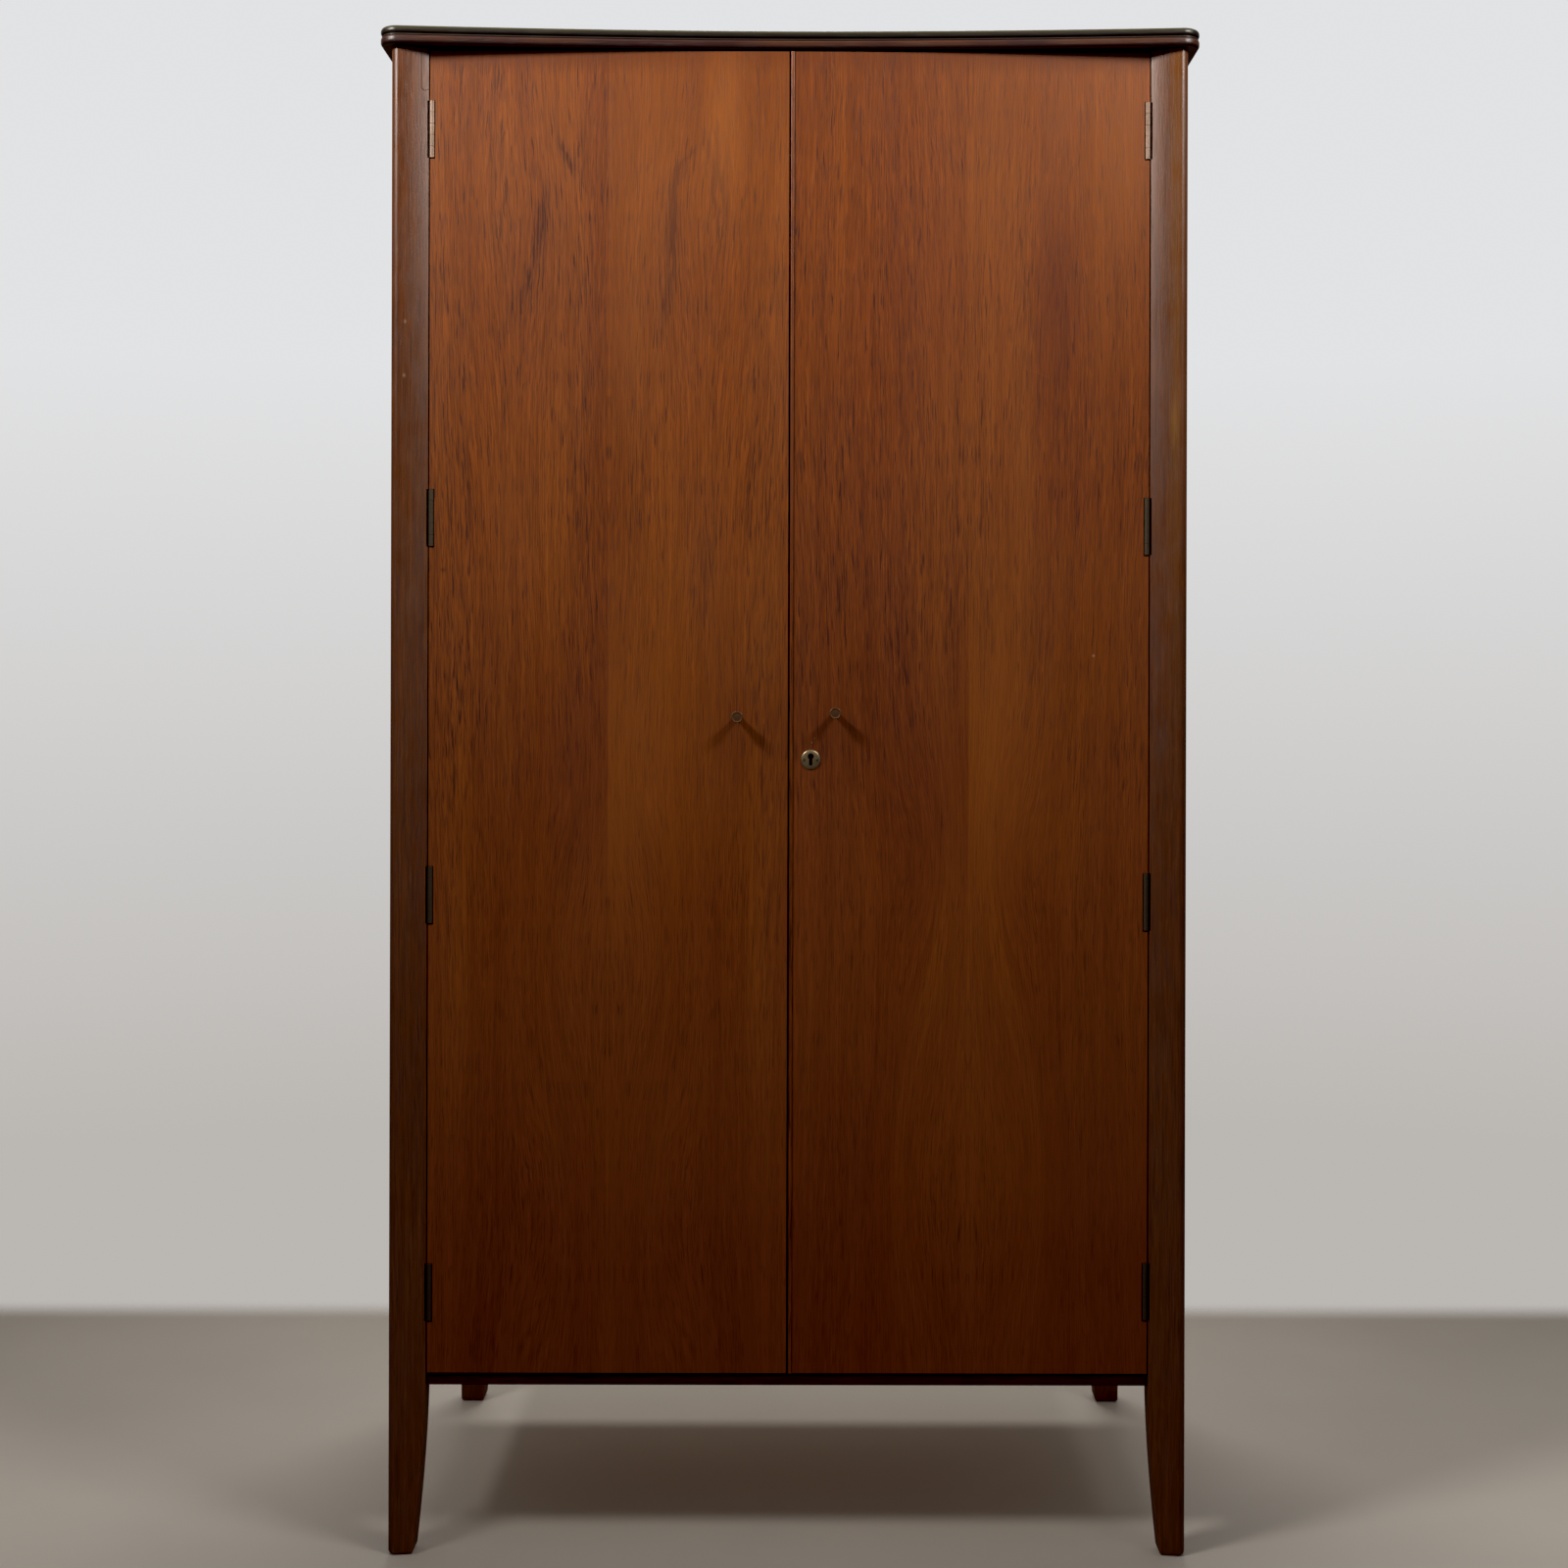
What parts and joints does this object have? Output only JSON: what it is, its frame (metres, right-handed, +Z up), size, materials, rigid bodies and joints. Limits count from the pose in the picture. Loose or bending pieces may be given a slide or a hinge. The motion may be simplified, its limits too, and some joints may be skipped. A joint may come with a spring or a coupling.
{
  "type": "two-door wardrobe",
  "caption": "Two-door teak wardrobe on tapered legs, with a hollow-fronted reeded top, inset doors on butt hinges, a lock, a hat shelf and a hanging rail.",
  "frame": {"origin": "on the floor, under the centre of the overall box", "axes": "+X to the right of someone facing the doors, -Y towards them, +Z up"},
  "size_m": [0.914, 0.559, 1.7],
  "materials": {
    "door_veneer": "satin oiled teak veneer, two matched leaves a door",
    "solid_teak": "satin solid hardwood, greyer and browner than the doors",
    "top_teak": "dark satin wood",
    "inner_wood": "plain unpolished hardwood",
    "plywood": "thin plywood",
    "hinge_brass": "aged, dark patina",
    "fitting_brass": "aged, worn bright on the edges",
    "steel": "dull",
    "rail_steel": "plated, satin"
  },
  "bodies": {
    "carcass": {"top_board": "top_teak", "left_side_panel": "door_veneer", "right_side_panel": "door_veneer", "back_panel": "plywood", "bottom_board": "inner_wood", "bottom_front_rail": "solid_teak", "bottom_back_rail": "inner_wood", "top_front_rail": "inner_wood", "top_back_rail": "inner_wood", "front_left_post": "solid_teak", "front_right_post": "solid_teak", "back_left_post": "solid_teak", "back_right_post": "solid_teak", "hat_shelf": "inner_wood", "left_shelf_cleat": "inner_wood", "right_shelf_cleat": "inner_wood", "hanging_rail": "rail_steel", "left_rail_socket": "rail_steel", "right_rail_socket": "rail_steel", "left_hinge_1_frame_leaf": "hinge_brass", "left_hinge_2_frame_leaf": "hinge_brass", "left_hinge_3_frame_leaf": "hinge_brass", "left_hinge_4_frame_leaf": "hinge_brass", "right_hinge_1_frame_leaf": "hinge_brass", "right_hinge_2_frame_leaf": "hinge_brass", "right_hinge_3_frame_leaf": "hinge_brass", "right_hinge_4_frame_leaf": "hinge_brass", "left_hinge_1_pin": "steel", "left_hinge_2_pin": "steel", "left_hinge_3_pin": "steel", "left_hinge_4_pin": "steel", "right_hinge_1_pin": "steel", "right_hinge_2_pin": "steel", "right_hinge_3_pin": "steel", "right_hinge_4_pin": "steel"},
    "left_door": {"left_door": "door_veneer", "strike_plate": "fitting_brass", "left_knob": "fitting_brass", "left_knob_screw": "steel", "top_slip_bolt_case": "fitting_brass", "bottom_slip_bolt_case": "fitting_brass", "left_hinge_1_door_leaf": "hinge_brass", "left_hinge_2_door_leaf": "hinge_brass", "left_hinge_3_door_leaf": "hinge_brass", "left_hinge_4_door_leaf": "hinge_brass"},
    "right_door": {"right_door": "door_veneer", "meeting_bead": "solid_teak", "right_knob": "fitting_brass", "right_knob_screw": "steel", "escutcheon": "fitting_brass", "escutcheon_left_pin": "fitting_brass", "escutcheon_right_pin": "fitting_brass", "lock_case": "steel", "right_hinge_1_door_leaf": "hinge_brass", "right_hinge_2_door_leaf": "hinge_brass", "right_hinge_3_door_leaf": "hinge_brass", "right_hinge_4_door_leaf": "hinge_brass"},
    "lock_bolt": {"lock_bolt": "fitting_brass"},
    "top_slip_bolt": {"top_slip_bolt": "fitting_brass"},
    "bottom_slip_bolt": {"bottom_slip_bolt": "fitting_brass"}
  },
  "joints": [
    {"name": "left_door_hinge", "type": "hinge", "parent": "carcass", "child": "left_door", "pos_m": [-0.4004, -0.2565, 0], "axis": [0, 0, -1], "range_deg": [0, 130]},
    {"name": "right_door_hinge", "type": "hinge", "parent": "carcass", "child": "right_door", "pos_m": [0.4004, -0.2565, 0], "axis": [0, 0, 1], "range_deg": [0, 130]},
    {"name": "lock_bolt_slide", "type": "slide", "parent": "right_door", "child": "lock_bolt", "axis": [-1, 0, 0], "range_m": [0, 0.007]},
    {"name": "top_bolt_slide", "type": "slide", "parent": "left_door", "child": "top_slip_bolt", "axis": [0, 0, 1], "range_m": [0, 0.01]},
    {"name": "bottom_bolt_slide", "type": "slide", "parent": "left_door", "child": "bottom_slip_bolt", "axis": [0, 0, -1], "range_m": [0, 0.01]}
  ]
}
